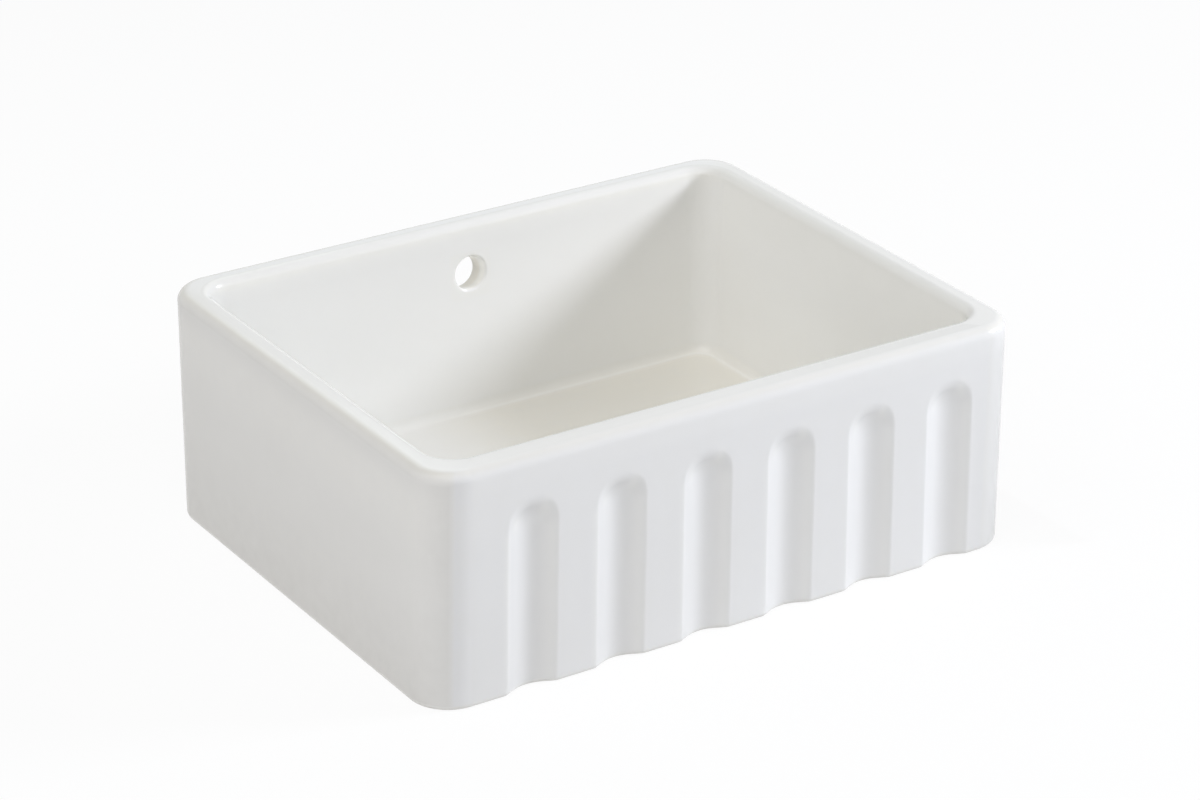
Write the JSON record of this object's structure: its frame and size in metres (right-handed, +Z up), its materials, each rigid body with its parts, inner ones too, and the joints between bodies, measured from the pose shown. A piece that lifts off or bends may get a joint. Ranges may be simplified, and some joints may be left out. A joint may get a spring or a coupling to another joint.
{
  "type": "apron front sink",
  "caption": "White fireclay kitchen sink with a fluted apron front, one deep bowl, an overflow hole and a basket strainer waste with a lift-out basket.",
  "frame": {"origin": "centre of the waste hole in the plane of the basin's underside", "axes": "+X along the fluted front, to the right seen from the front; +Y from the front to the back wall; +Z up"},
  "size_m": [0.6054, 0.4796, 0.292],
  "materials": {
    "glaze": "glossy white glaze",
    "foam": "closed-cell foam",
    "stainless": "brushed stainless",
    "polished": "polished",
    "black_rubber": "matt",
    "white_plastic": "satin moulded polypropylene",
    "clip_plastic": "moulded",
    "brass": "machined"
  },
  "bodies": {
    "sink": {"basin": "glaze", "flange_seal": "foam", "strainer_cup": "stainless", "bolt_seal": "black_rubber", "clamp_bolt": "stainless", "underside_washer": "black_rubber", "waste_body": "white_plastic", "threaded_insert": "brass", "inlet_seal": "black_rubber", "inlet_cap": "white_plastic"},
    "lift_out_basket": {"basket": "stainless", "basket_stem": "stainless", "seal_spacer": "white_plastic", "basket_seal": "black_rubber", "stem_nut": "stainless", "stem_clip": "clip_plastic", "basket_knob": "polished"}
  },
  "joints": [
    {"name": "basket_lift", "type": "slide", "parent": "sink", "child": "lift_out_basket", "axis": [0, 0, 1], "range_m": [0, 0.27]}
  ]
}
